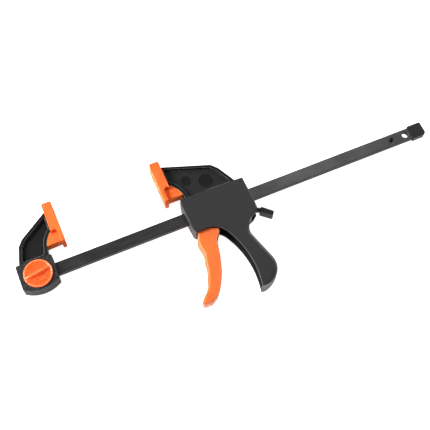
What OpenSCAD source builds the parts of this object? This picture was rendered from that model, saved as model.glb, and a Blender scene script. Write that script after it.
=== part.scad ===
// One-handed bar clamp with a quick release lever and a fixed jaw that turns round for spreading.
// Origin: centre of the fixed jaw's clamping face. +X runs along the bar to its capped end,
// +Y to the tips of the jaws, +Z up through the fixed jaw's lock knob.

/* [Bar] */
// Height of the bar, across the jaws' pull
bar_h = 14.5; // [13:0.5:14.5]
// Thickness of the bar
bar_t = 6; // [5:0.5:6]
// Bar beyond the stop pin, up to the end cap's tip
bar_tail = 42.4; // [36:0.1:60]
// Radius of the two holes that take the lock stud
stud_hole_r = 4; // [3.5:0.1:4]

/* [Opening] */
// Gap between the pads as drawn
opening = 118; // [20:1:280]
// Gap between the pads with the head against the stop pin
opening_max = 300; // [150:10:450]

/* [Jaws] */
// Height of the pads' tops above the bar's centreline
pad_top = 76.5; // [75:0.5:80]
// Height of the pads' lower lips above the bar's centreline
pad_bottom = 26; // [25.5:0.5:27]
// Depth of a pad, from its face to the back of its side walls
pad_depth = 11.5; // [11:0.1:12]
// Width of a pad
pad_w = 22; // [20:0.5:24]
// Width of the two jaw arms
arm_w = 12; // [11:0.5:12]
// Thickness of the web between an arm's rims
web_t = 4; // [3:0.5:5]

/* [Head] */
// Width of the mechanism housing and the grip
head_w = 23.5; // [21:0.5:25]
// Wall of the housing and the grip
wall = 2.5; // [2:0.1:2.7]
// Width of the trigger
trigger_w = 15; // [12:0.5:15.5]

/* [Lock knob] */
// Diameter of the knob that holds the fixed jaw
knob_d = 32; // [28:0.5:34]
// Width of the fixed jaw's base
base_w = 17.5; // [16:0.5:18]

/* [Springs] */
// Wire diameter of both springs
wire_d = 1.2; // [1:0.1:1.3]
// Turns of the spring behind the drive plates
drive_turns = 7; // [5:1:8]
// Turns of the spring behind the brake plates
brake_turns = 5; // [4:1:6]

/* [Hidden] */
$fn = 96;

mould_grey = "#404143";
soft_orange = "#ff7a3c";
steel = "#55575a";
zinc = "#8f9296";

// The bar's centreline lies below the middle of the pads.
bar_y = -(pad_top + pad_bottom) / 2;
// Running gap between the bar and everything that it slides through
bar_gap = 0.3;
// Gap between pieces that are fitted together by hand
fit_gap = 0.2;
// Gap that stands for a pressed fit
press_gap = 0.01;

// Fixed jaw: the knob's axis behind the clamping face, and where the bar's end sits
knob_x = -39.5;
bar_start = knob_x - 12.5;
base_half = base_w / 2;
// Head: its length behind the clamping face sets the stop pin's place
head_len = 93;
pin_r = 2;
stop_x = opening_max + head_len + pin_r;
tip_x = stop_x + bar_tail;
cap_len = 17.2;
cap_wall = 1.3;
cap_end_wall = 2;
spreader_x = stop_x + 18.6;

// Trigger pivot and the lobe that pushes the drive plates, in the head's own coordinates
pivot = [25.5, 13.5];
pivot_pin_r = 2.5;
// The pin goes in from one side, and this much of the other wall covers its end
pin_skin = 1.4;
lobe_arm = 24;
lobe_lead = -2;
lobe_r = 5;
plate_t = 2.5;
drive_x = pivot.x + lobe_arm * sin(lobe_lead) + lobe_r + 0.3;
spring_seat_x = 58;
spring_seat_t = 3;
// Brake plates: they tilt about the corner where they meet the housing's fulcrum
fulcrum = [67, 15.5];
brake_tilt = -5;

// ---- Plane geometry -------------------------------------------------------------------------

function unit(v) = v / norm(v);

function xy(p) = [p.x, p.y];

function turned(a) = ((a % 360) + 540) % 360 - 180;

// Points on an arc about c, from angle a0 to a1
function arc(c, r, a0, a1, n = 12) = [
    for (i = [0:n]) c + r * [cos(a0 + (a1 - a0) * i / n), sin(a0 + (a1 - a0) * i / n)]
];

// Points of a smooth open curve that passes through all of k
function curve(k, n = 4) = [
    for (i = [0:len(k) - 2], j = [0:n - 1])
        let (
            t = j / n,
            p0 = k[max(i - 1, 0)],
            p1 = k[i],
            p2 = k[i + 1],
            p3 = k[min(i + 2, len(k) - 1)]
        )
        (2 * p1 + (p2 - p0) * t + (2 * p0 - 5 * p1 + 4 * p2 - p3) * t ^ 2
            + (3 * p1 - p0 - 3 * p2 + p3) * t ^ 3) / 2,
    k[len(k) - 1]
];

// The same points with no corner radius of their own and an edge radius that runs from e0 to e1
function edged(points, e0, e1) = [
    for (i = [0:len(points) - 1]) [points[i].x, points[i].y, 0, e0 + (e1 - e0) * i / (len(points) - 1)]
];

// One rounded corner: the points that replace p, which stands between before and after
function corner(p, before, after, r, n) =
    let (
        u = unit(before - p),
        v = unit(after - p),
        half = acos(u * v) / 2,
        c = p + unit(u + v) * r / sin(half),
        t0 = p + u * r / tan(half) - c,
        t1 = p + v * r / tan(half) - c,
        a0 = atan2(t0.y, t0.x),
        sweep = turned(atan2(t1.y, t1.x) - a0)
    )
    arc(c, r, a0, a0 + sweep, n);

// Outline from entries [x, y], [x, y, corner radius] or [x, y, corner radius, edge radius].
// Each point comes back as [x, y, edge radius].
function rounded(path, n = 4) = [
    for (i = [0:len(path) - 1])
        let (
            m = len(path),
            p = path[i],
            r = len(p) > 2 ? p[2] : 0,
            e = len(p) > 3 ? p[3] : 0.6,
            spots = r > 0 ? corner(xy(p), xy(path[(i + m - 1) % m]), xy(path[(i + 1) % m]), r, n) : [xy(p)]
        )
        for (q = spots) [q.x, q.y, e]
];

function flat(outline) = [for (p = outline) xy(p)];

// Inward step that keeps both neighbouring sides of a counter-clockwise outline parallel
function mitre(outline, i) =
    let (
        m = len(outline),
        d0 = unit(xy(outline[i]) - xy(outline[(i + m - 1) % m])),
        d1 = unit(xy(outline[(i + 1) % m]) - xy(outline[i])),
        n0 = [-d0.y, d0.x],
        n1 = [-d1.y, d1.x]
    )
    (n0 + n1) / (1 + n0 * n1);

// Twice the area of triangle abc, positive when it runs counter-clockwise
function turn(a, b, c) = (b.x - a.x) * (c.y - b.y) - (b.y - a.y) * (c.x - b.x);

function turn_at(points, f) = turn(points[f[0]], points[f[1]], points[f[2]]);

// The three points at and beside place k of a closed polygon
function beside(ids, k) = let (m = len(ids)) [ids[(k + m - 1) % m], ids[k], ids[(k + 1) % m]];

function is_clear(a, b, c, others) =
    len([for (p = others) if (turn(a, b, p) >= 0 && turn(b, c, p) >= 0 && turn(c, a, p) >= 0) p]) == 0;

// Whether a corner sticks out and no inward corner of the polygon lies in the triangle that it makes
function is_ear(points, f, inward) =
    turn_at(points, f) > 0
        && is_clear(points[f[0]], points[f[1]], points[f[2]],
            [for (i = inward) if (i != f[0] && i != f[1] && i != f[2]) points[i]]);

function first_ear(points, ids, inward, k = 0) =
    assert(k < len(ids), "the outline crosses itself")
    is_ear(points, beside(ids, k), inward) ? k : first_ear(points, ids, inward, k + 1);

// Triangles that fill a counter-clockwise polygon, cut off one corner at a time
function triangles(points, ids, inward, done = []) =
    len(ids) == 3 ? concat(done, [ids])
        : let (
            m = len(ids),
            k = first_ear(points, ids, inward),
            rest = [for (i = [2:m]) ids[(k + (i < m ? i : 1)) % m]]
        )
        triangles(points, rest, [for (i = inward) if (i != ids[k]) i], concat(done, [beside(ids, k)]));

// ---- Solid helpers --------------------------------------------------------------------------

// Plate of an outline, centred on the middle plane
module plate(outline, width) {
    linear_extrude(width, center = true) polygon(flat(outline));
}

// Plate whose rims are rounded, each point of the outline with an edge radius of its own
module rounded_plate(outline, width, steps = 4) {
    m = len(outline);
    half = width / 2;
    steps_in = [for (i = [0:m - 1]) mitre(outline, i)];
    rings = [for (k = [0:steps]) [-1, 90 * k / steps], for (k = [steps:-1:0]) [1, 90 * k / steps]];
    points = [
        for (ring = rings, i = [0:m - 1])
            let (e = outline[i].z, spot = xy(outline[i]) + steps_in[i] * e * (1 - sin(ring[1])))
            [spot.x, spot.y, ring[0] * (half - e * (1 - cos(ring[1])))]
    ];
    sides = [
        for (j = [0:len(rings) - 2], i = [0:m - 1])
            let (a = j * m + i, b = j * m + (i + 1) % m)
            each [[a, b + m, b], [a, a + m, b + m]]
    ];
    last = (len(rings) - 1) * m;
    ids = [for (i = [0:m - 1]) i];
    inward = [for (i = ids) if (turn_at(points, beside(ids, i)) <= 0) i];
    under = triangles(points, ids, inward);
    over = [for (f = under) [last + f[2], last + f[1], last + f[0]]];
    polyhedron(points, concat(sides, under, over));
}

// Everything that is measured from the bar's centreline
module on_bar() {
    translate([0, bar_y, 0]) children();
}

// Everything that rides on the sliding head, measured from its clamping face
module on_head() {
    translate([opening, bar_y, 0]) children();
}

// Square-edged slot along X that the bar passes through
module bar_way(x0, x1, gap) {
    h = bar_h + 2 * gap;
    w = bar_t + 2 * gap;
    translate([x0, -h / 2, -w / 2]) cube([x1 - x0, h, w]);
}

// ---- Bar ------------------------------------------------------------------------------------

bar_chamfer = 0.5;

module bar() {
    h = bar_h / 2;
    t = bar_t / 2;
    c = bar_chamfer;
    section = [
        [-t, -h + c], [-t + c, -h], [t - c, -h], [t, -h + c],
        [t, h - c], [t - c, h], [-t + c, h], [-t, h - c]
    ];
    color(steel) on_bar() difference() {
        translate([bar_start, 0, 0]) rotate([90, 0, 90]) rotate([0, 0, 90])
            linear_extrude(tip_x - cap_end_wall - bar_start) polygon(section);
        for (x = [knob_x, spreader_x]) translate([x, 0, -bar_t]) cylinder(r = stud_hole_r, h = 2 * bar_t);
        translate([stop_x, 0, -bar_t]) cylinder(r = pin_r + press_gap, h = 2 * bar_t);
    }
}

module end_cap() {
    h = bar_h / 2 + cap_wall;
    x0 = tip_x - cap_len;
    outline = rounded([
        [x0, -h, 1, 0.5], [tip_x, -h, 4, 0.5], [tip_x, h, 1.5, 0.5], [x0, h, 1, 0.5]
    ]);
    color(mould_grey) on_bar() difference() {
        rounded_plate(outline, bar_t + 2, 2);
        bar_way(x0 - 1, tip_x - cap_end_wall, 0.02);
    }
}

// Spring pin through the bar: a rolled tube with a slit along one side
module stop_pin() {
    pin_l = 11;
    bore_r = 1.2;
    slit = 0.8;
    color(zinc) on_bar() translate([stop_x, 0, -pin_l / 2]) difference() {
        cylinder(r = pin_r, h = pin_l);
        translate([0, 0, -1]) cylinder(r = bore_r, h = pin_l + 2);
        translate([0, -slit / 2, -1]) cube([2 * pin_r, slit, pin_l + 2]);
    }
}

// ---- Arms and pads, drawn for the moving jaw and mirrored for the fixed one -------------------

flange_x0 = 5.3;
flange_x1 = 9.2;
flange_w = 16;
flange_y0 = 45;
flange_y1 = 70;
arch_c = [-10, 20];
arch_r = 34;

// Upright plate at the front of an arm, which the pad is pressed over
module flange() {
    plate(rounded([
        [flange_x0, flange_y0, 1], [flange_x1, flange_y0], [flange_x1, flange_y1], [flange_x0, flange_y1, 1]
    ]), flange_w);
}

// Soft pad: side walls wrap the flange, and a narrow heel fills the corner under the arm
module pad(arm_arch_c, arm_arch_r) {
    notch_c = [8.2, 38.3];
    notch_r = 4.05;
    notch_x = notch_c.x - notch_r;
    lip_x = 4.5;
    heel_y = 28.3;
    lap = 0.3;
    core_w = arm_w - lap;
    far = 40;
    socket_gap = fit_gap * [1, 1, 1];
    body = rounded([
        [0, pad_top, 1.5, 0.9], [0, pad_bottom, 1.3, 0.8], [pad_depth, pad_bottom, 1.2, 0.7],
        [pad_depth, pad_top, 1.6, 0.8]
    ], 3);
    neck_y = arm_arch_c.y + arm_arch_r * sin(46);
    heel_arc = arc(arm_arch_c, arm_arch_r - fit_gap, 14, 44, 8);
    heel = rounded(concat([[lip_x - 1, heel_y]], heel_arc, [[lip_x - 1, heel_arc[8].y]]));
    notch = rounded(concat(
        [[notch_x, pad_bottom - 5], [notch_c.x + notch_r, pad_bottom - 5]],
        arc(notch_c, notch_r, 0, 180, 10)
    ));
    difference() {
        union() {
            difference() {
                rounded_plate(body, pad_w, 3);
                for (s = [-1, 1]) translate([0, 0, s * (core_w + 2 * pad_w) / 2]) plate(notch, 2 * pad_w);
                translate([lip_x, 0, -pad_w]) cube([far, heel_y + lap, 2 * pad_w]);
            }
            plate(heel, arm_w);
        }
        translate([flange_x0, flange_y0, -flange_w / 2] - socket_gap)
            cube([flange_x1 - flange_x0, flange_y1 - flange_y0, flange_w] + 2 * socket_gap);
        translate([flange_x1, neck_y, -arm_w / 2 - fit_gap])
            cube([far, flange_y1 - neck_y, arm_w + 2 * fit_gap]);
        for (y = [42, 60]) translate([0, y, 0]) rotate([0, 0, 45]) cube([1, 1, 2 * pad_w], center = true);
    }
}

// ---- Fixed jaw ------------------------------------------------------------------------------

fixed_arch_r = 32;
recess_r = 9.5;
recess_top = -5;

module fixed_jaw() {
    base_floor_c = [-39.6, 18.6];
    base_floor_r = 36.6;
    base = rounded(concat(
        edged(arc(base_floor_c, base_floor_r, -122, -60, 12), 0.8, 0.8),
        [[-20.1, -12.6, 1.5, 0.8], [-19.6, 4.8, 0, 0.8], [-19.6, 16.9, 2, 0.8],
         [-60.4, 17.5, 2, 0.8], [-60.6, -11.6, 1.5, 0.8]]
    ));
    arm = rounded(concat(
        [[-56.2, 12]],
        [[-22, 12]],
        arc([10, 20], fixed_arch_r, 180, 132, 10),
        [[-flange_x1, flange_y0], [-flange_x0 - 1, flange_y0], [-flange_x0 - 1, 69], [-flange_x1, 69],
         [-12.6, 67, 1], [-44.3, 45.8, 9], [-50, 38.5, 6], [-56.2, 17.3]]
    ));
    recess = rounded(concat(
        [[-52, 19.5, 2], [-27, 19.5, 2]],
        arc([10, 20], fixed_arch_r + 3.7, 172, 136, 8),
        [[-13, 46.5, 1], [-13, 62.5, 1], [-42.3, 43, 7], [-46.9, 36.9, 4]]
    ));
    color(mould_grey) on_bar() difference() {
        union() {
            rounded_plate(base, base_w, 2);
            plate(arm, arm_w);
            mirror([1, 0, 0]) flange();
        }
        for (s = [-1, 1]) translate([0, 0, s * (web_t + arm_w) / 2]) plate(recess, arm_w);
        bar_way(bar_start - 0.3, 0, 0.15);
        translate([knob_x, 0, -base_w]) cylinder(r = stud_hole_r + 0.05, h = 2 * base_w);
        translate([knob_x, 0, -base_w]) cylinder(r = recess_r, h = base_w + recess_top);
    }
}

module fixed_pad() {
    color(soft_orange) on_bar() mirror([1, 0, 0]) pad([-10, 20], fixed_arch_r);
}

// ---- Lock knob ------------------------------------------------------------------------------

stud_r = stud_hole_r - 0.05;
drive_square = 4.2;
stud_shoulder = 0.6;
knob_floor = base_half + 0.35;
knob_face = base_half + 2.25;
square_top = knob_face + 0.2;
grip_top = knob_face + 2.5;
grip_turn = 8;
cross_pin_r = 1;
cross_pin_z = -base_half + 1.2;
catch_t = 1;

module at_knob() {
    translate([knob_x, bar_y, 0]) children();
}

// Disc with a dished face, a rounded rim and a ridge across it to turn it by
module lock_knob() {
    rim_r = 1.1;
    rim_w = 1.6;
    foot_chamfer = 0.4;
    dish = 0.6;
    washer_pocket_r = 8.3;
    outer = knob_d / 2;
    color(soft_orange) at_knob() difference() {
        union() {
            rotate_extrude() polygon(concat(
                [[0, knob_floor], [outer - foot_chamfer, knob_floor], [outer, knob_floor + foot_chamfer]],
                arc([outer - rim_r, knob_face - rim_r], rim_r, 0, 90, 5),
                [[outer - rim_w, knob_face - 0.15]],
                [[outer - rim_w - 0.8, knob_face - dish], [0, knob_face - dish]]
            ));
            rotate([0, 0, grip_turn]) knob_ridge(knob_face - dish);
        }
        translate([0, 0, base_half - 5]) cylinder(r = washer_pocket_r, h = 5 + 1.4);
        translate([0, 0, base_half]) cylinder(r = stud_r + 0.02, h = stud_shoulder + 0.2);
        translate([0, 0, square_top / 2])
            cube([drive_square + 0.04, drive_square + 0.04, square_top + 0.04], center = true);
    }
}

// Ridge with a bowed crest, steeper on one side than on the other, that sinks into the rim at its ends
module knob_ridge(face) {
    sunk = 0.12;
    root = face - 0.5;
    half_l = knob_d / 2 - 1.9;
    bow = 0.9;
    steep_w = 3.8;
    gentle_w = 5;
    along = 18;
    across = 6;
    function height(u, v) = face - sunk + (grip_top - face + sunk) * (1 - 0.8 * u ^ 4) * cos(90 * v) ^ 2;
    rows = [for (i = [-along / 2:along / 2]) 2 * i / along];
    steps = [for (j = [-across:across]) j / across];
    n = len(steps);
    last = (len(rows) - 1) * n;
    top = [
        for (u = rows, v = steps)
            [half_l * u, bow * u ^ 2 + v * (v > 0 ? steep_w : gentle_w) * (1 - 0.25 * u ^ 2), height(u, v)]
    ];
    m = len(top);
    bottom = [for (p = top) [p.x, p.y, root]];
    rim = concat(
        [for (j = [0:n - 1]) j],
        [for (i = [1:len(rows) - 1]) i * n + n - 1],
        [for (j = [n - 2:-1:0]) last + j],
        [for (i = [len(rows) - 2:-1:1]) i * n]
    );
    skin = [
        for (i = [0:len(rows) - 2], j = [0:n - 2])
            let (a = i * n + j, b = a + n)
            each [
                [a, a + 1, b + 1], [a, b + 1, b],
                [m + a, m + b + 1, m + a + 1], [m + a, m + b, m + b + 1]
            ]
    ];
    walls = [
        for (k = [0:len(rim) - 1])
            let (a = rim[k], b = rim[(k + 1) % len(rim)])
            each [[a, m + a, m + b], [a, m + b, b]]
    ];
    polyhedron(concat(top, bottom), concat(skin, walls));
}

// Stud with a square top that turns with the knob and a hole for the cross pin near its foot
module lock_stud() {
    foot_z = -base_half + 0.1;
    shoulder_z = base_half + stud_shoulder;
    color(zinc) at_knob() difference() {
        union() {
            translate([0, 0, foot_z]) cylinder(r = stud_r, h = shoulder_z - foot_z);
            translate([-drive_square / 2, -drive_square / 2, foot_z])
                cube([drive_square, drive_square, square_top - foot_z]);
        }
        translate([0, 0, cross_pin_z]) rotate([90, 0, 0])
            cylinder(r = cross_pin_r + press_gap, h = 4 * stud_r, center = true);
    }
}

module lock_cross_pin() {
    pin_l = 15;
    color(zinc) at_knob() translate([0, 0, cross_pin_z]) rotate([90, 0, 0])
        cylinder(r = cross_pin_r, h = pin_l, center = true);
}

// Dished spring washer that keeps the knob from rattling loose
module lock_washer() {
    in_r = stud_r + 0.4;
    out_r = 7.8;
    dish = 0.5;
    t = 0.6;
    color(zinc) at_knob() translate([0, 0, base_half + 0.05]) rotate_extrude() polygon([
        [in_r, dish], [out_r, 0], [out_r, t], [in_r, t + dish]
    ]);
}

// Plate in the base's underside with a slot that lets the cross pin through when the knob is turned
module catch_plate() {
    slot_l = 15.6;
    slot_w = 2 * cross_pin_r + 0.6;
    color(zinc) at_knob() translate([0, 0, recess_top - catch_t]) difference() {
        cylinder(r = recess_r - 0.02, h = catch_t);
        translate([0, 0, -1]) cylinder(r = stud_r + 0.3, h = catch_t + 2);
        translate([-slot_l / 2, -slot_w / 2, -1]) cube([slot_l, slot_w, catch_t + 2]);
    }
}

// ---- Head: arm, mechanism housing and grip in one moulding ------------------------------------

grip_edge = 5;
body_edge = 1.2;
lip_edge = 0.5;
grip_front_c = [-44.7, -83.1];
grip_front_r = 107;
arch_front_c = [30.5, -45];
arch_front_r = 22.7;
heel_c = [60.8, -86.4];
heel_r = 24.8;
back_turn = 15.5;
heel_flat = 0.89;
waist_c = [87, -43.5];
waist_r = 13;
nose_x = 16;
nose_lean = 1.5;
roof_y = 21;
rear_x = 93;

// Points on the grip's rounded heel, which is a little flatter below its centre than above
function heel(r, a0, a1, n) = [
    for (p = arc([0, 0], r, a0, a1, n)) heel_c + [p.x, p.y * (p.y < 0 ? heel_flat : 1)]
];

module jaw_body() {
    inner_half = head_w / 2 - wall;
    back = wall + 0.5;
    shell = rounded(concat(
        [[nose_x - 0.2, -19, 1.5, lip_edge], [17.6, -22.4, 1.4, lip_edge]],
        edged(arc(arch_front_c, arch_front_r, 90, 31, 10), lip_edge, lip_edge),
        edged(arc(grip_front_c, grip_front_r, 25, -12.2, 14), lip_edge, lip_edge),
        [[58.8, -108, 1.2, 0.5]],
        edged(heel(heel_r, -82, -50, 5), 1, grip_edge),
        edged(heel(heel_r, -40, back_turn, 7), grip_edge, grip_edge),
        edged(arc(waist_c, waist_r, 180 + back_turn, 142, 8), grip_edge, 2),
        [[79.4, -29.9, 5, 1.5], [86.8, -26.6, 3, body_edge], [92.6, -22, 1.4, body_edge],
         [rear_x, -13, 5, body_edge], [rear_x - 0.6, roof_y - 1, 1.5, body_edge],
         [16.3, roof_y + 0.5, 2, body_edge], [nose_x - nose_lean, 14.5, 3, body_edge],
         [nose_x - 1.1, 3, 8, body_edge]]
    ));
    hollow = rounded(concat(
        [[nose_x + wall, -34], [40, -70], [40, -109]],
        heel(heel_r - back, -80, back_turn, 10),
        arc(waist_c, waist_r + back, 180 + back_turn, 145, 6),
        [[84.9, -24.9, 3], [88.4, -20.4, 2], [rear_x - wall, -12], [rear_x - wall, roof_y - wall, 1],
         [nose_x + wall, roof_y - wall, 1]]
    ));
    arm = rounded(concat(
        arc(arch_c, arch_r, 48, 0, 12),
        [[24, roof_y - 2], [84.5, roof_y - 2], [84.5, roof_y], [72.6, 44.2, 5], [66, 51.1, 8],
         [12.3, 69.8, 1], [flange_x1, 69], [flange_x0 + 1, 69],
         [flange_x0 + 1, flange_y0 + 0.2], [flange_x1, flange_y0 + 0.2]]
    ));
    recess = rounded(concat(
        arc(arch_c, arch_r + 3.7, 44, 5, 10),
        [[32, roof_y + 2, 2], [79.6, roof_y + 2, 1.5], [69.3, 42, 4], [64, 48.4, 6],
         [13.2, 66.6, 1], [13.2, 50, 1]]
    ));
    release_slot = [[83, -30], [96, -30], [96, -13.5], [85, -13.5]];
    color(mould_grey) on_head() difference() {
        union() {
            difference() {
                union() {
                    rounded_plate(shell, head_w);
                    difference() {
                        union() {
                            plate(arm, arm_w);
                            flange();
                        }
                        for (s = [-1, 1]) translate([0, 0, s * (web_t + arm_w) / 2]) plate(recess, arm_w);
                        for (s = [-1, 1], dimple = [[33, 43.8, 6], [54.5, 35.9, 8.5]])
                            translate([dimple.x, dimple.y, s * (web_t - 0.6 + arm_w) / 2])
                                cylinder(r = dimple[2], h = arm_w, center = true);
                    }
                }
                plate(hollow, 2 * inner_half);
                plate(release_slot, 2 * inner_half);
            }
            spring_seat(inner_half);
            brake_fulcrum(inner_half);
        }
        bar_way(nose_x - nose_lean - 1, rear_x + 1, bar_gap);
        translate([pivot.x, pivot.y, -head_w])
            cylinder(r = pivot_pin_r + press_gap, h = 1.5 * head_w - pin_skin);
    }
}

// Cross wall that the drive spring pushes against
module spring_seat(half) {
    translate([spring_seat_x, -12.5, -half - 0.5]) cube([spring_seat_t, roof_y - 1 + 12.5, 2 * half + 1]);
}

// Ledge under the roof that the tops of the brake plates pivot on
module brake_fulcrum(half) {
    translate([fulcrum.x - 2.5, fulcrum.y, -half - 0.5]) cube([2.45, roof_y - 1 - fulcrum.y, 2 * half + 1]);
}

module moving_pad() {
    color(soft_orange) on_head() pad(arch_c, arch_r);
}

// ---- Trigger --------------------------------------------------------------------------------

module trigger() {
    front_edge = 4.2;
    tip_edge = 3;
    back_edge = 1.2;
    front = curve([
        [14.7, -33], [14.9, -40], [15.9, -48.5], [14.1, -55], [13, -61], [11.9, -67.5], [8.4, -76],
        [6.3, -82.5], [2.2, -88.5], [-3, -93.6], [-6.8, -98]
    ], 3);
    rear = curve([
        [11.4, -97.6], [17.2, -90.8], [23.6, -80], [27.6, -70.9], [32.2, -56.3], [34.8, -44.5]
    ], 3);
    outline = rounded(concat(
        edged(arc(pivot, 4.5, 0, 180, 10), back_edge, back_edge),
        [[20.6, -16, 3, back_edge], [19.4, -23.4, 3, back_edge]],
        edged(front, front_edge, tip_edge),
        [[-6.7, -102.2, 2.6, 2], [4.2, -102, 5, 1.6]],
        edged(rear, back_edge, back_edge),
        [[36.2, -38.6, 3, back_edge], [43.2, -29.3, 1.1, 0.6], [43.6, -26.2, 1.1, 0.6],
         [27, -17.6, 2, back_edge]],
        edged(arc(xy(lobe()), lobe_r, -60, 30, 6), back_edge, back_edge)
    ), 3);
    hollow = rounded(concat(
        [[22.5, -32, 2]],
        curve([[20.5, -40], [20.8, -50], [18, -64], [11.5, -79], [6.5, -88], [0.8, -96]], 3),
        [[6, -98.5, 2], [40, -80], [40, -36], [34, -30, 2]]
    ));
    slot_top = pivot.y - 4.3;
    bar_slot = [[17, slot_top], [17, -11.8], [27, -14.2], [50, -20.5], [50, slot_top]];
    color(soft_orange) on_head() difference() {
        rounded_plate(outline, trigger_w, 3);
        plate(hollow, 8.4);
        linear_extrude(bar_t + 1, center = true) polygon(bar_slot);
        translate([pivot.x, pivot.y, -trigger_w]) cylinder(r = pivot_pin_r + 0.05, h = 2 * trigger_w);
    }
}

// Centre of the lobe that pushes the drive plates, with the trigger at rest
function lobe() = pivot + lobe_arm * [sin(lobe_lead), -cos(lobe_lead)];

module trigger_pin() {
    sunk = 0.2;
    color(zinc) on_head() translate([pivot.x, pivot.y, -head_w / 2 + sunk])
        cylinder(r = pivot_pin_r, h = head_w - pin_skin - 1.5 * sunk);
}

// ---- Drive and brake ------------------------------------------------------------------------

plate_w = 12.6;
// From one plate's front face to the next one's
plate_step = plate_t + 0.05;
brake_foot = -20;

// Hardened plate with a hole for the bar, its front face at x = 0 and its ends at y0 and y1
module gripping_plate(y0, y1) {
    gap = [0, 0.4, 0.25];
    r = 1.5;
    difference() {
        rotate([90, 0, 90]) linear_extrude(plate_t) polygon(flat(rounded([
            [y0, -plate_w / 2, r], [y1, -plate_w / 2, r], [y1, plate_w / 2, r], [y0, plate_w / 2, r]
        ])));
        translate([-1, -bar_h / 2, -bar_t / 2] - gap) cube([plate_t + 2, bar_h, bar_t] + 2 * gap);
    }
}

module drive_plate(n) {
    color(zinc) on_head() translate([drive_x + n * plate_step, 0, 0]) gripping_plate(-13.2, 10.8);
}

module drive_plate_front() {
    drive_plate(0);
}

module drive_plate_rear() {
    drive_plate(1);
}

// Everything that tilts with the brake plates, measured from their front face at bar height
module on_brake() {
    on_head() translate(fulcrum) rotate([0, 0, brake_tilt]) translate([0, -fulcrum.y, 0]) children();
}

module brake_plate(n) {
    color(zinc) on_brake() translate([n * plate_step, 0, 0]) gripping_plate(brake_foot, 17.2);
}

module brake_plate_front() {
    brake_plate(0);
}

module brake_plate_rear() {
    brake_plate(1);
}

// Coil spring about the X axis. Its turns are two half circles joined by straight runs, so they
// clear the bar.
module oval_spring(x0, x1, turns) {
    sides = 6;
    per_end = 10;
    r = wire_d / 2;
    bend_r = bar_t / 2 + r + 0.5;
    bend_y = bar_h / 2 - 1.1;
    n = turns * 2 * per_end;
    travel = x1 - x0 - wire_d;
    points = [
        for (i = [0:n], j = [0:sides - 1])
            let (
                top = floor(i / per_end) % 2 == 0,
                a = (top ? -90 : 90) + 180 * (i % per_end) / (per_end - 1),
                b = 360 * j / sides,
                reach = bend_r + r * cos(b)
            )
            [
                x0 + r + travel * i / n + r * sin(b),
                (top ? bend_y : -bend_y) + reach * cos(a),
                reach * sin(a)
            ]
    ];
    skin = [
        for (i = [0:n - 1], j = [0:sides - 1])
            let (a = i * sides + j, b = i * sides + (j + 1) % sides)
            each [[a, b, b + sides], [a, b + sides, a + sides]]
    ];
    ends = [[for (j = [sides - 1:-1:0]) j], [for (j = [0:sides - 1]) n * sides + j]];
    polyhedron(points, concat(skin, ends));
}

module drive_spring() {
    color(steel) on_head() oval_spring(drive_x + 2 * plate_t + 0.15, spring_seat_x - 0.1, drive_turns);
}

module brake_spring() {
    color(steel) on_head() oval_spring(fulcrum.x + 2 * plate_t + 0.9, rear_x - wall - 0.1, brake_turns);
}

// Lever moulded on the lower ends of the brake plates, with a thumb tab outside the housing
module release_lever() {
    lever_w = 5;
    tab_w = 13;
    socket_w = 14;
    mould_gap = [0.02, 0.02, 0.02];
    cover = 1.8;
    socket_end = 2 * plate_t + cover + 0.2;
    socket_top = -15;
    socket = [
        [-cover, brake_foot - cover], [socket_end, brake_foot - cover],
        [socket_end, socket_top], [-cover, socket_top]
    ];
    neck = rounded([
        [68.5, -22.5], [72, -23.6, 2], [86, -21.7, 3], [92, -21.7, 2], [98.2, -24.8, 1],
        [100, -21.2, 1], [95, -18.4, 3], [84, -17, 4], [70.5, -16.5]
    ]);
    tab = rounded([
        [94.4, -24.5, 1.1, 0.6], [106.2, -35, 1.4, 0.7], [109.6, -30.6, 1.4, 0.7], [98, -19.9, 1.1, 0.6]
    ], 3);
    color(mould_grey) difference() {
        union() {
            on_brake() plate(socket, socket_w);
            on_head() plate(neck, lever_w);
            on_head() rounded_plate(tab, tab_w, 3);
        }
        for (n = [0, 1]) on_brake()
            translate([n * plate_step, brake_foot, -plate_w / 2] - mould_gap)
                cube([plate_t, 30, plate_w] + 2 * mould_gap);
    }
}

bar();
end_cap();
stop_pin();
fixed_jaw();
fixed_pad();
lock_knob();
lock_stud();
lock_cross_pin();
lock_washer();
catch_plate();
jaw_body();
moving_pad();
trigger();
trigger_pin();
drive_plate_front();
drive_plate_rear();
drive_spring();
brake_plate_front();
brake_plate_rear();
brake_spring();
release_lever();
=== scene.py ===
"""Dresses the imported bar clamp: finishes for every piece, a pale floor, soft light and the camera."""
from __future__ import annotations

import logging
import math
from dataclasses import dataclass, field
from enum import Enum

import bmesh
import bpy
from mathutils import Matrix, Vector


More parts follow.
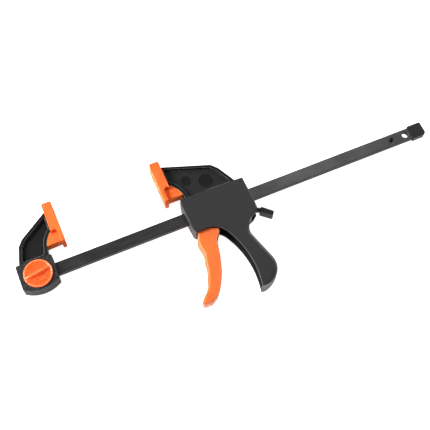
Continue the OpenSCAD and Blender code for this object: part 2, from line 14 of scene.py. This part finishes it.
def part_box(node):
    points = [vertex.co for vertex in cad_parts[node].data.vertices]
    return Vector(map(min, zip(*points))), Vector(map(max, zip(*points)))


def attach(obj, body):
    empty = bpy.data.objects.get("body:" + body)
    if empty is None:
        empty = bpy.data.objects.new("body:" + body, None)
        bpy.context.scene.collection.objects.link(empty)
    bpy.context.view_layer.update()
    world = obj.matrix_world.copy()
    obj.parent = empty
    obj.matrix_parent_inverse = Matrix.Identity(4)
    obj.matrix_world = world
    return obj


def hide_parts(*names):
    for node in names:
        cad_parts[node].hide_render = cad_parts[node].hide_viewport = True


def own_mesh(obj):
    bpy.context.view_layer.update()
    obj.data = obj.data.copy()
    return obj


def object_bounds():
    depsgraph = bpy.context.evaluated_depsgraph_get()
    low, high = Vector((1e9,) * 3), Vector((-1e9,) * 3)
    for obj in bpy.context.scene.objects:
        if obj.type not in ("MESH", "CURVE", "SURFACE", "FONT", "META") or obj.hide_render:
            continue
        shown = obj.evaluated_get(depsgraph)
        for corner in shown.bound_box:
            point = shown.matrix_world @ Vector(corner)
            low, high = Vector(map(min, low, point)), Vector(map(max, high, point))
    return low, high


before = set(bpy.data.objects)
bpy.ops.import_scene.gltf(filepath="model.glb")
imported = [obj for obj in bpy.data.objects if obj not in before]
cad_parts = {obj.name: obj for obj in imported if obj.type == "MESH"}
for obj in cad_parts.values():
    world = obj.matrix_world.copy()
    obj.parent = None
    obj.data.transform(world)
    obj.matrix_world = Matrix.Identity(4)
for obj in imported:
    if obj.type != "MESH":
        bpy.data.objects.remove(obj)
CAD_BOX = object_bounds()

logging.basicConfig(level=logging.INFO, format="%(message)s")
log = logging.getLogger("bar_clamp")

MM = 0.001
# Faces that lie in a box's own sides still count as inside it.
BOX_SLACK = 0.01 * MM

Socket = bpy.types.NodeSocket
Tree = bpy.types.NodeTree
Span = tuple[float, float]


# ---- Colour and node helpers ---------------------------------------------------------------------


def srgb(code: str) -> tuple[float, float, float, float]:
    """Turn an sRGB hex colour into Blender's linear one.

    Args:
        code: six hex digits with a leading hash.

    Returns:
        Linear red, green and blue, with an alpha of 1.
    """
    parts = [int(code[i : i + 2], 16) / 255 for i in (1, 3, 5)]
    linear = [c / 12.92 if c <= 0.04045 else ((c + 0.055) / 1.055) ** 2.4 for c in parts]
    return (linear[0], linear[1], linear[2], 1.0)


def add_node(
    tree: Tree, kind: str, settings: dict | None = None, links: dict | None = None
) -> bpy.types.Node:
    """Add one shader node.

    Args:
        tree: the node tree that gets the node.
        kind: the node's type name without the ShaderNode prefix.
        settings: attributes by name, and input values by the input's name or number.
        links: the output socket that feeds each input, by the input's name or number.

    Returns:
        The new node.
    """
    node = tree.nodes.new("ShaderNode" + kind)
    for key, value in (settings or {}).items():
        if isinstance(key, str) and hasattr(node, key):
            setattr(node, key, value)
        else:
            node.inputs[key].default_value = value
    for key, socket in (links or {}).items():
        tree.links.new(socket, node.inputs[key])
    return node


def noise(tree: Tree, width_mm: float, where: Socket, detail: float, roughness: float = 0.5) -> Socket:
    """Add a noise around 0.5 whose patches have a real width.

    Args:
        tree: the material's node tree.
        width_mm: width of one patch.
        where: the coordinates that it is drawn in.
        detail: how many finer layers lie on it.
        roughness: how strong the finer layers are.

    Returns:
        The noise's socket.
    """
    settings = {"Scale": 1 / (width_mm * MM), "Detail": detail, "Roughness": roughness}
    return add_node(tree, "TexNoise", settings, {"Vector": where}).outputs["Fac"]


def remap(tree: Tree, value: Socket, start: Span, end: Span = (0.0, 1.0)) -> Socket:
    """Map a value from one span to another, and hold it inside.

    Args:
        tree: the node tree.
        value: the value.
        start: the span that it comes from.
        end: the span that it goes to.

    Returns:
        The mapped value's socket.
    """
    settings = {"From Min": start[0], "From Max": start[1], "To Min": end[0], "To Max": end[1]}
    return add_node(tree, "MapRange", settings, {"Value": value}).outputs["Result"]


def combine(tree: Tree, operation: str, first: Socket, second: Socket | float) -> Socket:
    """Work out one number from two.

    Args:
        tree: the node tree.
        operation: the Math node's operation.
        first: the first number's socket.
        second: the second number, or its socket.

    Returns:
        The result's socket.
    """
    settings, links = {"operation": operation}, {0: first}
    (links if isinstance(second, Socket) else settings)[1] = second
    return add_node(tree, "Math", settings, links).outputs["Value"]


def mix_colours(tree: Tree, fac: Socket, first: object, second: object) -> Socket:
    """Mix two colours.

    Args:
        tree: the material's node tree.
        fac: the share of the second colour.
        first: a linear colour, or the socket that gives one.
        second: a linear colour, or the socket that gives one.

    Returns:
        The mixed colour's socket.
    """
    settings, links = {"data_type": "RGBA"}, {0: fac}
    for place, colour in ((6, first), (7, second)):
        (links if isinstance(colour, Socket) else settings)[place] = colour
    return add_node(tree, "Mix", settings, links).outputs[2]


# ---- Finishes ------------------------------------------------------------------------------------


class Lay(Enum):
    """The direction that a metal's working marks run in, as stretches of the pattern's axes."""

    ALONG_BAR = (0.02, 1.0, 1.0)
    ACROSS_BAR = (1.0, 0.05, 1.0)
    NONE = (1.0, 1.0, 1.0)


# Cosines of the angle between the rounded and the true normal: where an edge begins, and where it is full.
EDGE_SPAN = (0.995, 0.9)
EDGE_SAMPLES = 6
# The middle part of a noise, where nearly all its values lie, for roughness and for drift.
ROUGHNESS_SPAN = (0.3, 0.7)
DRIFT_SPAN = (0.35, 0.65)
# The top of the mould's texture, where pale specks are painted: glass in the nylon, and partly painted
# glints.
PEAK_SPAN = (0.48, 0.62)
# Marks times clouds, from a deep mark to clean metal.
MARK_SPAN = (0.12, 0.4)
# The share of the roughness that full rubbing takes away.
RUBBED_POLISH = 0.35


def rounded_edge_strip(tree: Tree, radius_mm: float, strip_share: float) -> tuple[Socket, Socket]:
    """Round a piece's edges to the eye and find the narrow strip along them, where a paler colour is
    painted: partly edge wear, partly painted highlight.

    Args:
        tree: the material's node tree.
        radius_mm: radius that the edges shade with.
        strip_share: the strip's value on a full edge.

    Returns:
        The rounded normal, and a mask that is the given share on an edge and 0 on a flat face: it marks both
        edge wear and painted highlight.
    """
    bevel = add_node(tree, "Bevel", {"samples": EDGE_SAMPLES, "Radius": radius_mm * MM}).outputs["Normal"]
    true_normal = add_node(tree, "NewGeometry").outputs["Normal"]
    agree = add_node(tree, "VectorMath", {"operation": "DOT_PRODUCT"}, {0: bevel, 1: true_normal})
    edge = remap(tree, agree.outputs["Value"], EDGE_SPAN)
    return bevel, combine(tree, "MULTIPLY", edge, strip_share)


def rubbed_roughness(tree: Tree, pattern: Socket, wear_and_highlight: Socket, middle: float, spread: float) -> Socket:
    """Let a pattern vary the roughness, and make the rubbed edges smoother.

    Args:
        tree: the material's node tree.
        pattern: a noise around 0.5.
        wear_and_highlight: the share of rubbing.
        middle: the roughness where the pattern is 0.5 and nothing is rubbed.
        spread: the most that the pattern adds or takes.

    Returns:
        The roughness's socket.
    """
    varied = remap(tree, pattern, ROUGHNESS_SPAN, (middle - spread, middle + spread))
    kept = remap(tree, wear_and_highlight, (0.0, 1.0), (1.0, 1.0 - RUBBED_POLISH))
    return combine(tree, "MULTIPLY", varied, kept)


def new_tree(name: str) -> tuple[bpy.types.Material, Tree]:
    """Make a material with an empty node tree."""
    mat = bpy.data.materials.new(name)
    mat.use_nodes = True
    mat.node_tree.nodes.clear()
    return mat, mat.node_tree


@dataclass(frozen=True)
class Finish:
    """A surface, named for its material and how it was made.

    Attributes:
        name: the material's name.
    """

    name: str

    def material(self) -> bpy.types.Material:
        """Build the material, or return it if it is there already."""
        found = bpy.data.materials.get(self.name)
        if found:
            return found
        mat, tree = new_tree(self.name)
        shader = self.surface(tree, add_node(tree, "TexCoord").outputs["Object"])
        add_node(tree, "OutputMaterial", None, {"Surface": shader.outputs["BSDF"]})
        return mat

    def surface(self, tree: Tree, place: Socket) -> bpy.types.Node:
        """Build the shader.

        Args:
            tree: the material's node tree.
            place: the piece's own coordinates.

        Returns:
            The shader's node.
        """
        raise NotImplementedError


@dataclass(frozen=True)
class MouldedPlastic(Finish):
    """A moulded plastic: its surface repeats the mould's, so the mould's texture gives the finish.

    Attributes:
        colour: where the melt filled the mould thickly.
        drift_colour: where it flowed thin and cooled first.
        edge_colour: the paler colour painted along the edges and on the texture's peaks: partly wear, partly
            painted highlight.
        roughness: of the shader, before the drift and the rubbed edges change it.
        grain_mm: width of one pit of the mould's texture.
        grain_depth_mm: depth of one pit.
        drift_mm: width of one patch of drift.
        drift: the greatest share of the drift colour.
        edge_mm: radius that the edges shade with.
        edge_wear_and_highlight: the greatest share of the edge colour.
        subsurface: share of the light that spreads under the skin.
        glow_mm: how far that light spreads.
        specular: the shader's specular level.
        speck: the greatest share of the edge colour on the texture's peaks: pale glass specks, partly
            painted glints.
        roughness_spread: the most that the drift changes the roughness.
        grain_strength: the strength of the texture's bump.
    """

    colour: str
    drift_colour: str
    edge_colour: str
    roughness: float
    grain_mm: float
    grain_depth_mm: float
    drift_mm: float = 14.0
    drift: float = 0.35
    edge_mm: float = 0.5
    edge_wear_and_highlight: float = 0.4
    subsurface: float = 0.0
    glow_mm: float = 0.8
    specular: float = 0.5
    speck: float = 0.0
    roughness_spread: float = 0.06
    grain_strength: float = 0.8

    def surface(self, tree: Tree, place: Socket) -> bpy.types.Node:
        """Build the shader: drifting colour, pitted texture and paler edges, painted as wear and highlight.
        """
        flow = noise(tree, self.drift_mm, place, detail=3.0, roughness=0.55)
        pits = noise(tree, self.grain_mm, place, detail=2.0, roughness=0.6)
        normal, wear_and_highlight = rounded_edge_strip(tree, self.edge_mm, self.edge_wear_and_highlight)
        share = remap(tree, flow, DRIFT_SPAN, (0.0, self.drift))
        tone = mix_colours(tree, share, srgb(self.colour), srgb(self.drift_colour))
        # Pale specks painted on the texture's peaks: glass in the nylon, partly painted glints.
        if self.speck:
            peaks = remap(tree, pits, PEAK_SPAN, (0.0, self.speck))
            tone = mix_colours(tree, peaks, tone, srgb(self.edge_colour))
        # Paler edges: partly wear, partly painted highlight.
        tone = mix_colours(tree, wear_and_highlight, tone, srgb(self.edge_colour))
        rough = rubbed_roughness(tree, flow, wear_and_highlight, self.roughness, self.roughness_spread)
        depth = {"Strength": self.grain_strength, "Distance": self.grain_depth_mm * MM}
        bump = add_node(tree, "Bump", depth, {"Height": pits, "Normal": normal})
        return add_node(
            tree,
            "BsdfPrincipled",
            {
                "Subsurface Weight": self.subsurface,
                "Subsurface Scale": self.glow_mm * MM,
                "Specular IOR Level": self.specular,
            },
            {"Base Color": tone, "Roughness": rough, "Normal": bump.outputs["Normal"]},
        )


@dataclass(frozen=True)
class WorkedMetal(Finish):
    """A metal surface whose marks run one way, such as drawn bar or ground plate.

    Attributes:
        colour: the metal between the marks.
        mark_colour: the marks and the cloudy patches.
        edge_colour: the edges, rubbed bright.
        roughness: of the shader, before the marks change it.
        lay: the direction that the marks run in.
        mark_mm: distance from one mark to the next.
        mark_depth_mm: depth of a mark.
        cloud_mm: width of a cloudy patch.
        edge_mm: radius that the edges shade with.
        edge_wear_and_highlight: the greatest share of the edge colour.
        roughness_spread: the most that the marks change the roughness.
        mark_strength: the strength of the marks' bump.
    """

    colour: str
    mark_colour: str
    edge_colour: str
    roughness: float
    lay: Lay
    mark_mm: float = 0.5
    mark_depth_mm: float = 0.01
    cloud_mm: float = 30.0
    edge_mm: float = 0.35
    edge_wear_and_highlight: float = 0.5
    roughness_spread: float = 0.08
    mark_strength: float = 0.6

    def surface(self, tree: Tree, place: Socket) -> bpy.types.Node:
        """Build the shader: marks that run one way, cloudy patches and bright edges."""
        run = add_node(tree, "Mapping", {"Scale": self.lay.value}, {"Vector": place}).outputs["Vector"]
        marks = noise(tree, self.mark_mm, run, detail=3.0)
        cloud = noise(tree, self.cloud_mm, place, detail=2.0)
        normal, wear_and_highlight = rounded_edge_strip(tree, self.edge_mm, self.edge_wear_and_highlight)
        clean = remap(tree, combine(tree, "MULTIPLY", marks, cloud), MARK_SPAN)
        tone = mix_colours(tree, clean, srgb(self.mark_colour), srgb(self.colour))
        tone = mix_colours(tree, wear_and_highlight, tone, srgb(self.edge_colour))
        rough = rubbed_roughness(tree, marks, wear_and_highlight, self.roughness, self.roughness_spread)
        depth = {"Strength": self.mark_strength, "Distance": self.mark_depth_mm * MM}
        bump = add_node(tree, "Bump", depth, {"Height": marks, "Normal": normal})
        return add_node(
            tree,
            "BsdfPrincipled",
            {"Metallic": 1.0},
            {"Base Color": tone, "Roughness": rough, "Normal": bump.outputs["Normal"]},
        )


# The materials, and the reasons given for their tones, are taken from how such clamps look. The mould
# grains are drawn coarser than real ones, which are about 0.1 mm wide and would be too fine to show.
# On the plastics, the paler edge colour is partly wear and partly painted highlight.

# Glass-filled nylon from a finely spark-eroded mould: an even matt grey, its rounded edges painted paler as
# a painted sheen.
GREY_NYLON = MouldedPlastic(
    "glass_filled_nylon", "#1e1e1f", "#1a1a1b", "#808183", 0.5, 0.6, 0.02, edge_mm=0.7
)
# The same nylon from a coarsely eroded part of the mould: it glitters a little, like fine sandpaper; pale
# specks are painted on its texture's peaks, glass in the nylon and partly painted glints, and its edges are
# painted paler as a painted highlight.
COARSE_NYLON = MouldedPlastic(
    "coarse_glass_filled_nylon",
    "#151616",
    "#0e0f0f",
    "#4c4e50",
    0.62,
    1.4,
    0.3,
    drift_mm=3.0,
    drift=0.9,
    specular=0.25,
    speck=0.5,
)
# The same nylon from a polished part of the mould: nearly black, because little light scatters back from it;
# its edges are painted pale, a painted highlight.
POLISHED_NYLON = MouldedPlastic(
    "polished_glass_filled_nylon",
    "#1a1a1b",
    "#151516",
    "#a0a0a2",
    0.45,
    0.8,
    0.012,
    edge_mm=0.6,
    edge_wear_and_highlight=0.8,
    specular=0.09,
)
# The same nylon down in the sliding arm's web: a shade paler, with its edges drawn a little darker than its
# face.
WEB_NYLON = MouldedPlastic(
    "arm_web_glass_filled_nylon",
    "#29292a",
    "#222223",
    "#1e1e1f",
    0.45,
    0.8,
    0.012,
    edge_mm=0.6,
    specular=0.09,
)
# The same nylon inside the round marks of the ejector pins, which leave it duller and darker.
EJECTED_NYLON = MouldedPlastic(
    "ejector_marked_nylon", "#1b1b1c", "#171718", "#161617", 0.5, 0.8, 0.02, specular=0.08
)
# Unfilled black nylon, satin from a vapour-blasted mould.
BLACK_NYLON = MouldedPlastic("black_nylon", "#151516", "#101011", "#4a4a4b", 0.5, 0.5, 0.015, specular=0.25)
# Orange acetal, hard and a little waxy: light enters it a short way, so its edges glow, and they are painted
# pale besides, a painted highlight. On the knob it keeps to the slopes and sides, deepened to a saturated
# orange as painted shade.
ORANGE_ACETAL = MouldedPlastic(
    "orange_acetal",
    "#ff5c18",
    "#ff5412",
    "#ffb890",
    0.28,
    0.6,
    0.01,
    edge_mm=0.8,
    edge_wear_and_highlight=0.8,
    subsurface=0.7,
)
# The same acetal on the trigger, painted a paler orange than the knob's as painted light; its long edges are
# rounded for the fingers and carry a broad pale strip, a painted highlight.
TRIGGER_ACETAL = MouldedPlastic(
    "trigger_orange_acetal_painted_light",
    "#ff7a3a",
    "#ff6c2c",
    "#ffd4bc",
    0.32,
    0.6,
    0.01,
    edge_mm=2.0,
    edge_wear_and_highlight=0.9,
    subsurface=0.8,
    glow_mm=1.5,
    specular=0.3,
)
# The same acetal painted paler on the knob's rim and the crest of its grip: painted highlight.
HIGHLIT_ACETAL = MouldedPlastic(
    "orange_acetal_painted_highlight", "#ff8850", "#ff7a40", "#ffd0b4", 0.24, 0.6, 0.01, edge_mm=0.8, subsurface=0.7
)
# Orange thermoplastic elastomer, softer to the eye than the acetal, with no clear highlight.
ORANGE_RUBBER = MouldedPlastic(
    "orange_elastomer",
    "#ff7636",
    "#ff6a2a",
    "#ffa878",
    0.6,
    0.7,
    0.02,
    edge_mm=0.6,
    subsurface=1.0,
    glow_mm=3.0,
    specular=0.12,
)
# Cold-drawn steel with a black oxide: satin dark grey, faint lines along the drawing direction.
DRAWN_STEEL = WorkedMetal("oxidised_drawn_steel", "#5a5a5a", "#464646", "#8c8c8c", 0.34, Lay.ALONG_BAR)
# The bar's narrow sides, painted darker and duller than its faces: painted shade.
SHADED_SIDE_STEEL = WorkedMetal(
    "drawn_steel_painted_shade_sides", "#303030", "#242424", "#606060", 0.5, Lay.ALONG_BAR
)
# Zinc-plated steel, pale with a slight haze.
ZINC_STEEL = WorkedMetal("zinc_plated_steel", "#b4b6b8", "#96989b", "#d0d1d3", 0.33, Lay.NONE)
# Hardened plate, ground across its faces.
GROUND_STEEL = WorkedMetal("ground_hardened_steel", "#77777a", "#5e5e61", "#a4a4a6", 0.34, Lay.ACROSS_BAR)
# Spring steel with a black oxide, as rolled spring pins have.
BLACK_STEEL = WorkedMetal("blackened_spring_steel", "#2a2a2b", "#1e1e1f", "#5a5a5c", 0.35, Lay.NONE)
# Oiled spring wire, dark and smooth.
SPRING_WIRE = WorkedMetal("oiled_spring_wire", "#5b5b5e", "#4a4a4d", "#77777a", 0.3, Lay.NONE, edge_mm=0.1)


# ---- Shared making -------------------------------------------------------------------------------


@dataclass
class SubAssembly:
    """A group of pieces that ride on one body of the clamp."""

    body: str
    pieces: list[str] = field(default_factory=list)

    def skin(self, node: str, finish: Finish, slot: str, smooth_deg: float = 32.0) -> bpy.types.Object:
        """Give a node a smoothly shaded skin of its own shape.

        Args:
            node: the CAD node that the skin stands for.
            finish: the finish all over it.
            slot: the record's material slot; not used.
            smooth_deg: faces that meet at less than this angle shade as one surface.

        Returns:
            The skin, which rides on the sub-assembly's body.
        """
        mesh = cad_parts[node].data.copy()
        shape = bmesh.new()
        shape.from_mesh(mesh)
        bmesh.ops.remove_doubles(shape, verts=shape.verts, dist=0.001 * MM)
        bmesh.ops.recalc_face_normals(shape, faces=shape.faces)
        for face in shape.faces:
            face.smooth = True
        for edge in shape.edges:
            edge.smooth = len(edge.link_faces) == 2 and edge.calc_face_angle(0) < math.radians(smooth_deg)
        shape.to_mesh(mesh)
        shape.free()
        custom = mesh.attributes.get("custom_normal")
        if custom:
            mesh.attributes.remove(custom)
        skin = bpy.data.objects.new(node + "_skin", mesh)
        bpy.context.scene.collection.objects.link(skin)
        mesh.materials.clear()
        mesh.materials.append(finish.material())
        even = skin.modifiers.new("even_normals", "WEIGHTED_NORMAL")
        even.keep_sharp = True
        even.weight = 80
        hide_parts(node)
        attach(skin, self.body)
        self.pieces.append(skin.name)
        log.info("%s: %d faces, %s", skin.name, len(mesh.polygons), finish.name)
        return skin


def second_finish(
    skin: bpy.types.Object, finish: Finish, low: Vector, high: Vector, facing: float = 0.0
) -> None:
    """Give the faces inside a box another finish.

    Args:
        skin: the piece.
        finish: the other finish.
        low: the box's lowest corner.
        high: the box's highest corner.
        facing: how far a face's normal has to lean to Z.
    """
    skin.data.materials.append(finish.material())
    number = len(skin.data.materials) - 1
    for face in skin.data.polygons:
        inside = all(low[i] - BOX_SLACK <= face.center[i] <= high[i] + BOX_SLACK for i in range(3))
        if inside and abs(face.normal.z) >= facing:
            face.material_index = number


def finish_slab(
    skin: bpy.types.Object, node: str, finish: Finish, half_mm: float, foot: float | None = None
) -> None:
    """Give another finish to the faces near a piece's middle plane.

    Args:
        skin: the piece.
        node: the node that it stands for.
        finish: the other finish.
        half_mm: half the slab's thickness, in Z.
        foot: the slab's lowest Y, or None for the whole height.
    """
    low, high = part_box(node)
    half = half_mm * MM
    start = low[1] if foot is None else foot
    second_finish(skin, finish, Vector((low[0], start, -half)), Vector((high[0], high[1], half)))


def bar_height() -> float:
    """Return the Y of the bar's centreline."""
    low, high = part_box("bar")
    return (low[1] + high[1]) / 2


# ---- Sub-assemblies ------------------------------------------------------------------------------


@dataclass
class Bar(SubAssembly):
    """The steel bar with its end cap and stop pin."""

    body: str = "bar_assembly"
    side_half_mm: float = 2.0

    def build(self) -> None:
        """Dress the bar's pieces."""
        bar = self.skin("bar", DRAWN_STEEL, "steel_bar")
        # Painted shade: the bar's narrow sides are drawn darker.
        finish_slab(bar, "bar", SHADED_SIDE_STEEL, self.side_half_mm)
        self.skin("end_cap", BLACK_NYLON, "black_plastic")
        self.skin("stop_pin", BLACK_STEEL, "zinc_steel")


@dataclass
class FixedJaw(SubAssembly):
    """The jaw at the bar's end with its pad and the catch for the lock stud."""

    body: str = "bar_assembly"
    arm_half_mm: float = 6.05
    base_top_mm: float = 17.6

    def build(self) -> None:
        """Dress the jaw, its pad and its lock hardware."""
        jaw = self.skin("fixed_jaw", COARSE_NYLON, "grey_plastic")
        arm_foot = bar_height() + self.base_top_mm * MM
        finish_slab(jaw, "fixed_jaw", POLISHED_NYLON, self.arm_half_mm, arm_foot)
        self.skin("fixed_pad", ORANGE_RUBBER, "orange_pad")
        self.skin("catch_plate", ZINC_STEEL, "zinc_steel")
        self.skin("lock_washer", ZINC_STEEL, "zinc_steel")


@dataclass
class LockKnob(SubAssembly):
    """The knob that holds the fixed jaw, with its stud and cross pin."""

    body: str = "knob"
    rim_mm: float = 10.6
    rim_facing: float = 0.85

    def build(self) -> None:
        """Dress the knob's pieces."""
        knob = self.skin("lock_knob", ORANGE_ACETAL, "orange_plastic")
        low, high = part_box("lock_knob")
        # The knob's upward faces above rim height get a paler copy of its acetal, painted highlight; the
        # deep orange left on its slopes is painted shade.
        rim = Vector((low[0], low[1], self.rim_mm * MM))
        second_finish(knob, HIGHLIT_ACETAL, rim, Vector(high), self.rim_facing)
        self.skin("lock_stud", ZINC_STEEL, "zinc_steel")
        self.skin("lock_cross_pin", ZINC_STEEL, "zinc_steel")


@dataclass
class Head(SubAssembly):
    """The sliding head: the body moulding, its pad, the trigger's pin and the springs."""

    body: str = "head"
    arm_half_mm: float = 6.05
    roof_mm: float = 21.2
    web_half_mm: float = 2.6
    mark_half_mm: float = 1.85
    coil_smooth_deg: float = 70.0
    drive_seat_mm: float = 176.0
    drive_keep: float = 0.568
    brake_seat_mm: float = 208.4
    brake_keep: float = 0.92

    def build(self) -> None:
        """Dress the head's pieces, and give each coil a mesh of its own."""
        body = self.skin("jaw_body", GREY_NYLON, "grey_plastic")
        arm_foot = bar_height() + self.roof_mm * MM
        for finish, half_mm in (
            (POLISHED_NYLON, self.arm_half_mm),
            (WEB_NYLON, self.web_half_mm),
            (EJECTED_NYLON, self.mark_half_mm),
        ):
            finish_slab(body, "jaw_body", finish, half_mm, arm_foot)
        self.skin("moving_pad", ORANGE_RUBBER, "orange_pad")
        self.skin("trigger_pin", ZINC_STEEL, "zinc_steel")
        for node, joint, seat_mm, keep in (
            ("drive_spring", "drive_push", self.drive_seat_mm, self.drive_keep),
            ("brake_spring", "brake_release", self.brake_seat_mm, self.brake_keep),
        ):
            coil = self.skin(node, SPRING_WIRE, "spring_steel", self.coil_smooth_deg)
            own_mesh(coil)


@dataclass
class Trigger(SubAssembly):
    """The trigger."""

    body: str = "trigger"

    def build(self) -> None:
        """Dress the trigger."""
        # The trigger's paler orange and its pale edge strip are painted light and painted highlight.
        self.skin("trigger", TRIGGER_ACETAL, "orange_plastic")


@dataclass
class Drive(SubAssembly):
    """The two drive plates."""

    body: str = "drive"

    def build(self) -> None:
        """Dress the drive plates."""
        for node in ("drive_plate_front", "drive_plate_rear"):
            self.skin(node, GROUND_STEEL, "hard_steel")


@dataclass
class Brake(SubAssembly):
    """The two brake plates and the release lever on their ends."""

    body: str = "brake"

    def build(self) -> None:
        """Dress the brake plates and the lever."""
        for node in ("brake_plate_front", "brake_plate_rear"):
            self.skin(node, GROUND_STEEL, "hard_steel")
        self.skin("release_lever", BLACK_NYLON, "black_plastic")


# ---- Studio --------------------------------------------------------------------------------------


@dataclass(frozen=True)
class Lamp:
    """One soft square lamp.

    Attributes:
        name: the lamp's name.
        at: where it hangs, in metres.
        size: its width in metres.
        watts: its power.
    """

    name: str
    at: tuple[float, float, float]
    size: float
    watts: float

    def hang(self, aim: tuple[float, float, float]) -> None:
        """Hang the lamp so that it faces a point."""
        data = bpy.data.lights.new(self.name, "AREA")
        data.size = self.size
        data.energy = self.watts
        lamp = bpy.data.objects.new(self.name, data)
        lamp.location = self.at
        lamp.rotation_mode = "QUATERNION"
        lamp.rotation_quaternion = (Vector(aim) - Vector(self.at)).to_track_quat("-Z", "Y")
        bpy.context.scene.collection.objects.link(lamp)


@dataclass
class Studio:
    """A white floor, walls that are bright all round and dim overhead, three soft lamps and the camera."""

    floor_size: float = 60.0
    floor_gap_mm: float = 0.2
    floor_paint: float = 0.9
    floor_glow: float = 0.89
    horizon: float = 0.75
    overhead: float = 0.37
    overhead_from: float = 0.6
    lamps: tuple[Lamp, ...] = (
        Lamp("left", (-0.8, 0.32, 0.7), 0.7, 26.0),
        Lamp("right", (1.3, 0.5, 0.45), 0.6, 8.0),
        Lamp("above", (0.67, 0.42, 1.14), 0.3, 0.95),
    )
    aim: tuple[float, float, float] = (0.15, -0.05, 0.0)
    lens_mm: float = 66.98
    sensor_mm: float = 36.0
    clip: Span = (0.01, 100.0)
    camera_at: tuple[float, float, float] = (0.00457, -0.38639, 0.82737)
    camera_right: tuple[float, float, float] = (0.91801, -0.39602, 0.02063)
    camera_up: tuple[float, float, float] = (0.35480, 0.84347, 0.40333)
    camera_back: tuple[float, float, float] = (-0.17713, -0.36294, 0.91482)
    camera_shift: Span = (0.00098, 0.00018)

    def build(self) -> None:
        """Make the floor, the light and the camera."""
        self.floor()
        self.sky()
        for lamp in self.lamps:
            lamp.hang(self.aim)
        self.camera()

    def floor(self) -> None:
        """Lay the floor just under the clamp: white to the eye and in reflections, with a soft shadow."""
        low = CAD_BOX[0]
        mesh = bpy.data.meshes.new("floor")
        h = self.floor_size / 2
        mesh.from_pydata([(-h, -h, 0), (h, -h, 0), (h, h, 0), (-h, h, 0)], [], [(0, 1, 2, 3)])
        obj = bpy.data.objects.new("floor", mesh)
        obj.location = (self.aim[0], self.aim[1], low.z - self.floor_gap_mm * MM)
        bpy.context.scene.collection.objects.link(obj)
        mat, tree = new_tree("painted_floor")
        paint = add_node(tree, "BsdfDiffuse", {"Color": (self.floor_paint,) * 3 + (1.0,)})
        glow = add_node(tree, "Emission", {"Strength": self.floor_glow})
        both = add_node(tree, "AddShader", None, {0: paint.outputs[0], 1: glow.outputs[0]})
        seen = add_node(tree, "LightPath").outputs
        shown = combine(tree, "MAXIMUM", seen["Is Camera Ray"], seen["Is Glossy Ray"])
        shown = combine(tree, "MAXIMUM", shown, seen["Is Transmission Ray"])
        pick = add_node(tree, "MixShader", None, {0: shown, 1: paint.outputs[0], 2: both.outputs[0]})
        add_node(tree, "OutputMaterial", None, {"Surface": pick.outputs[0]})
        mesh.materials.append(mat)

    def sky(self) -> None:
        """Surround the clamp with pale walls under a dim ceiling. The camera itself sees them white."""
        world = bpy.data.worlds.new("studio")
        bpy.context.scene.world = world
        world.use_nodes = True
        tree = world.node_tree
        tree.nodes.clear()
        way = add_node(tree, "TexCoord").outputs["Generated"]
        height = add_node(tree, "SeparateXYZ", None, {"Vector": way}).outputs["Z"]
        level = remap(tree, height, (0.0, self.overhead_from), (self.horizon, self.overhead))
        light = add_node(tree, "Background", None, {"Strength": level})
        white = add_node(tree, "Background", {"Color": (1.0, 1.0, 1.0, 1.0), "Strength": 1.0})
        seen = add_node(tree, "LightPath").outputs["Is Camera Ray"]
        pick = add_node(tree, "MixShader", None, {0: seen, 1: light.outputs[0], 2: white.outputs[0]})
        add_node(tree, "OutputWorld", None, {"Surface": pick.outputs[0]})

    def camera(self) -> None:
        """Place the camera."""
        data = bpy.data.cameras.new("camera")
        data.lens = self.lens_mm
        data.sensor_width = self.sensor_mm
        data.clip_start, data.clip_end = self.clip
        data.shift_x, data.shift_y = self.camera_shift
        cam = bpy.data.objects.new("camera", data)
        axes = Matrix((self.camera_right, self.camera_up, self.camera_back)).transposed()
        cam.matrix_world = Matrix.Translation(self.camera_at) @ axes.to_4x4()
        bpy.context.scene.collection.objects.link(cam)
        bpy.context.scene.camera = cam


def main() -> None:
    """Build the studio and every sub-assembly."""
    bpy.context.scene.view_settings.view_transform = "Standard"
    Studio().build()
    for group in (Bar(), FixedJaw(), LockKnob(), Head(), Trigger(), Drive(), Brake()):
        group.build()
        log.info("%s: %s", type(group).__name__, ", ".join(group.pieces))


if __name__ == "__main__":
    main()
